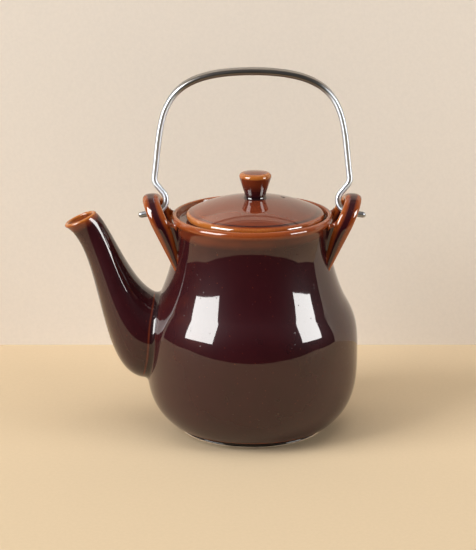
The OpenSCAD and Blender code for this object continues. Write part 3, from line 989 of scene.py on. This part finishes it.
def bailPath():
    # half the wire: middle, outward direction, half the flattened width, scale
    b = bail
    crest = np.array(ear["crest"])
    hookC = crest - [b["hookInset"], b["hookDrop"]]
    hookR = ear["strapW"] / 2 + b["hookGap"] + b["d"] / 2
    legEnd = crest + [-b["legInset"], b["legRise"]]
    lean = polar(b["legLean"])
    bendC = legEnd - b["bendR"] * lean
    span = hookC - bendC
    reach = asin((b["bendR"] + hookR) / np.linalg.norm(span))
    sway = np.degrees(reach - atan2(span[0], -span[1]))
    top = np.array([0.0, crest[1] + b["h"]])
    bow = [top, top + [b["bowTop"], 0], legEnd + b["bowSide"] * leftOf(lean), legEnd]
    path = []
    for i in range(b["bowSteps"] + 1):
        k = i / b["bowSteps"]
        taper = rise(k, 1.0, b["taperFrom"], 1 - b["taperFrom"])
        flat = (b["w"] - b["d"]) / 2 * (1 - taper)
        path.append((bezier(bow, k), leftOf(bezierRun(bow, k)), flat, 1.0))
    for i in range(1, b["bendSteps"] + 1):
        a = b["legLean"] - (b["legLean"] + sway) * i / b["bendSteps"]
        path.append((bendC + b["bendR"] * polar(a), polar(a), 0.0, 1.0))
    hookTo = 270 - b["pinDroop"]
    for i in range(b["hookSteps"] + 1):
        a = 180 - sway + (hookTo - 180 + sway) * i / b["hookSteps"]
        path.append((hookC + hookR * polar(a), -polar(a), 0.0, 1.0))
    pinFrom, pinRun, pinOut = hookC + hookR * polar(hookTo), polar(-b["pinDroop"]), -polar(hookTo)
    for i in range(1, b["pinSteps"] + 1):
        path.append((pinFrom + b["pinLen"] * i / b["pinSteps"] * pinRun, pinOut, 0.0, 1.0))
    for i in range(1, b["pinSteps"] + 1):  # rounded tip
        a = pi / 2 * i / b["pinSteps"]
        tip = b["pinLen"] + b["d"] / 2 * sin(a)
        path.append((pinFrom + tip * pinRun, pinOut, 0.0, max(cos(a), 0.02)))
    return path


def makeBail():
    b = bail
    n = b["sides"]
    turns = 2 * pi * (np.arange(n)[::-1] + 0.5) / n
    half = bailPath()

    def ring(p, side):
        mid, out, flat, scale = p
        y = b["d"] / 2 * scale * np.cos(turns) + flat * np.sign(np.cos(turns))
        lift = b["d"] / 2 * scale * np.sin(turns)
        return np.stack([side * (mid[0] + lift * out[0]), y, mid[1] + lift * out[1]], 1)

    rings = [ring(p, -1) for p in reversed(half[1:])] + [ring(p, 1) for p in half]
    obj = skinRings("bailHandle", rings)
    level = [rise(out[1], *b["levelRise"]) if flat > 0 else 0.0 for _, out, flat, _ in half]
    pins = 2 * b["pinSteps"]
    level[-pins:] = [b["pinLevel"]] * pins
    paint(obj, "level", np.append(np.repeat(level[:0:-1] + level, n), [b["pinLevel"]] * 2))
    # u along the wire in metres, v round it
    middles = np.array([r.mean(0) for r in rings])
    along = np.append(0, np.cumsum(np.linalg.norm(np.diff(middles, axis=0), axis=1))) * mm
    uv = obj.data.uv_layers.new(name="wire")
    for face in obj.data.polygons:
        spots = {k: obj.data.loops[k].vertex_index for k in face.loop_indices}
        wraps = {vertex % n for vertex in spots.values()} == {0, n - 1}
        for k, vertex in spots.items():
            row, col = min(vertex // n, len(rings) - 1), vertex % n
            uv.data[k].uv = (along[row], (n if wraps and col == 0 else col) / n * b["roundV"])
    softShade(obj, b["sharpFrom"])
    mount(obj, "bail", "bail_handle", "steel", satinSteel)


makeBail()


# stage: pale table, cream backdrop, two softboxes in a dark room, and the camera

stageLook = {
    "table": (0.570, 0.432, 0.276), "backdrop": (0.74, 0.655, 0.56),
    "backY": 0.165, "frontY": -0.52, "farY": 2.0, "halfWidth": 1.3,
    "backLeft": -0.62, "backRight": 1.2, "backdropTop": 1.3,
    "fibreScale": 420, "fibreDark": 0.98, "fibreLight": 1.015, "roughness": 0.9, "gloss": 0.1,
    "room": 0.02, "ceiling": 0.14, "ceilingFrom": 0.35, "ceilingFull": 0.9,
    "roomColour": (0.92, 0.96, 1.0),
}

# the backdrop as the pot mirrors it, hidden from the camera: two dark seams, darkness over them
# and a glow on the left, at heights and sideways places in metres
mirroredLook = {
    "seams": (0.385, 0.447), "seamEdges": (-0.012, -0.006, 0.004, 0.010), "seamShade": 0.75,
    "darkFrom": 0.445, "darkFull": 0.475, "darkShade": 0.80, "dark": (0.05, 0.045, 0.04),
    "glow": 0.65, "glowColour": (1.0, 0.90, 0.78),
    "glowFoot": (0.272, 0.300), "glowTop": (0.368, 0.376), "glowSide": (-0.20, 0.06),
}


def addPlane(name, corners):
    mesh = bpy.data.meshes.new(name)
    mesh.from_pydata(corners, [], [(0, 1, 2, 3)])
    obj = bpy.data.objects.new(name, mesh)
    scene.collection.objects.link(obj)
    return obj


def shadeAbove(mat, shader, coords):
    m = mirroredLook
    mirrored = mathNode(mat, "SUBTRACT", 1.0, addNode(mat, "LightPath").outputs["Is Camera Ray"])
    split = addNode(mat, "SeparateXYZ")
    link(mat, (coords, split.inputs[0]))
    side, up = split.outputs["X"], split.outputs["Z"]
    shade = remap(mat, up, m["darkFrom"], m["darkFull"], 0.0, m["darkShade"])
    seams = 0.0
    for at in m["seams"]:
        a, b, c, d = (at + edge for edge in m["seamEdges"])
        line = mathNode(mat, "MULTIPLY", remap(mat, up, a, b), remap(mat, up, c, d, 1.0, 0.0))
        seams = mathNode(mat, "ADD", seams, line)
    shade = mathNode(mat, "MAXIMUM", mathNode(mat, "MULTIPLY", seams, m["seamShade"]), shade)
    dim = addNode(mat, "MixRGB")
    dim.inputs[2].default_value = (*m["dark"], 1)
    paper = shader.inputs["Base Color"].links[0].from_socket
    link(mat, (mathNode(mat, "MULTIPLY", shade, mirrored), dim.inputs[0]), (paper, dim.inputs[1]),
         (dim.outputs[0], shader.inputs["Base Color"]))
    glow = mathNode(mat, "MULTIPLY", remap(mat, up, *m["glowFoot"]),
                    remap(mat, up, *m["glowTop"], m["glow"], 0.0))
    glow = mathNode(mat, "MULTIPLY", glow, remap(mat, side, *m["glowSide"], 1.0, 0.0))
    link(mat, (mathNode(mat, "MULTIPLY", glow, mirrored), shader.inputs["Emission Strength"]))
    setInputs(shader, **{"Emission Color": (*m["glowColour"], 1)})


def makePaper(name, colour, oneSided):
    s = stageLook
    mat, shader = newMaterial(name)
    coords = addNode(mat, "TexCoord").outputs["Object"]
    fibre = noise(mat, coords, s["fibreScale"], 4, 0.7)
    dark = tuple(c * s["fibreDark"] for c in colour)
    light = tuple(min(1.0, c * s["fibreLight"]) for c in colour)
    link(mat, (ramp(mat, fibre, [(0.3, dark), (0.7, light)]), shader.inputs["Base Color"]))
    setInputs(shader, **{"Roughness": s["roughness"], "Specular IOR Level": s["gloss"]})
    if oneSided:  # seen from behind it lets the view through
        shadeAbove(mat, shader, coords)
        clear = addNode(mat, "BsdfTransparent")
        mix = addNode(mat, "MixShader")
        link(mat, (addNode(mat, "NewGeometry").outputs["Backfacing"], mix.inputs[0]),
             (shader.outputs[0], mix.inputs[1]), (clear.outputs[0], mix.inputs[2]),
             (mix.outputs[0], mat.node_tree.nodes["Material Output"].inputs["Surface"]))
    return mat


def makeStage():
    s = stageLook
    w, near, far = s["halfWidth"], s["frontY"], s["farY"]
    table = addPlane("table", [(-w, near, 0), (w, near, 0), (w, far, 0), (-w, far, 0)])
    table.data.materials.append(makePaper("tablePaper", s["table"], False))
    left, right, y, top = s["backLeft"], s["backRight"], s["backY"], s["backdropTop"]
    back = addPlane("backdrop", [(left, y, 0), (right, y, 0), (right, y, top), (left, y, top)])
    back.data.materials.append(makePaper("backdropPaper", s["backdrop"], True))


def makeRoom():
    # dark except above, and past the backdrop's edges the camera sees the backdrop's colour
    s = stageLook
    world = bpy.data.worlds.new("room")
    scene.world = world
    world.use_nodes = True
    dim = world.node_tree.nodes["Background"]
    setInputs(dim, Color=(*s["roomColour"], 1))
    seen = addNode(world, "Background")
    setInputs(seen, Color=(*s["backdrop"], 1))
    split = addNode(world, "SeparateXYZ")
    fade = addNode(world, "MapRange")
    setInputs(fade, **{"From Min": s["ceilingFrom"], "From Max": s["ceilingFull"],
                       "To Min": s["room"], "To Max": s["ceiling"]})
    mix = addNode(world, "MixShader")
    link(world, (addNode(world, "TexCoord").outputs["Generated"], split.inputs[0]),
         (split.outputs["Z"], fade.inputs["Value"]),
         (fade.outputs["Result"], dim.inputs["Strength"]),
         (addNode(world, "LightPath").outputs["Is Camera Ray"], mix.inputs[0]),
         (dim.outputs[0], mix.inputs[1]), (seen.outputs[0], mix.inputs[2]),
         (mix.outputs[0], world.node_tree.nodes["World Output"].inputs["Surface"]))


softboxes = [
    {"name": "softboxLeft", "place": (-2.08, -0.90, 1.56), "size": (1.68, 1.80),
     "faces": (0.61, 0.79, -0.32), "watts": 100.0, "glint": 62.0},
    {"name": "softboxRight", "place": (1.38, -0.46, 0.66), "size": (0.77, 0.55),
     "faces": (-0.65, 0.76, -0.30), "watts": 13.0, "glint": 9.0},
    {"name": "fillAbove", "place": (0.0, -0.15, 1.9), "size": (1.7, 1.5),
     "faces": (0.0, 0.05, -1.0), "watts": 23.0, "glint": 0.0},
]
lampColour = (0.96, 0.98, 1.0)
glintLead = 0.01  # how far a glint stands in front of its box, in metres


def addLight(box, name, watts):
    data = bpy.data.lights.new(name, "AREA")
    data.shape = "RECTANGLE"
    data.size, data.size_y = box["size"]
    data.energy = watts
    data.color = lampColour
    obj = bpy.data.objects.new(name, data)
    obj.location = box["place"]
    obj.rotation_euler = Vector(box["faces"]).to_track_quat("-Z", "Y").to_euler()
    scene.collection.objects.link(obj)
    return obj


def makeSoftboxes():
    # a box's glint only shows in reflections, and the fill doesn't show in them
    for box in softboxes:
        lamp = addLight(box, box["name"], box["watts"])
        lamp.visible_glossy = box["glint"] > 0
        if box["glint"] > 0:
            glint = addLight(box, box["name"] + "Glint", box["glint"])
            glint.location += glintLead * Vector(box["faces"])
            glint.visible_diffuse = False


cameraLook = {"place": (-0.009223, -1.2, 0.454), "pitch": 16.28, "lens": 123.326}


def makeCamera():
    data = bpy.data.cameras.new("photoCamera")
    data.lens = cameraLook["lens"]
    obj = bpy.data.objects.new("photoCamera", data)
    obj.location = cameraLook["place"]
    obj.rotation_euler = (radians(90 - cameraLook["pitch"]), 0, 0)
    scene.collection.objects.link(obj)
    scene.camera = obj


makeStage()
makeRoom()
makeSoftboxes()
makeCamera()
print("stage, lights and camera ready")
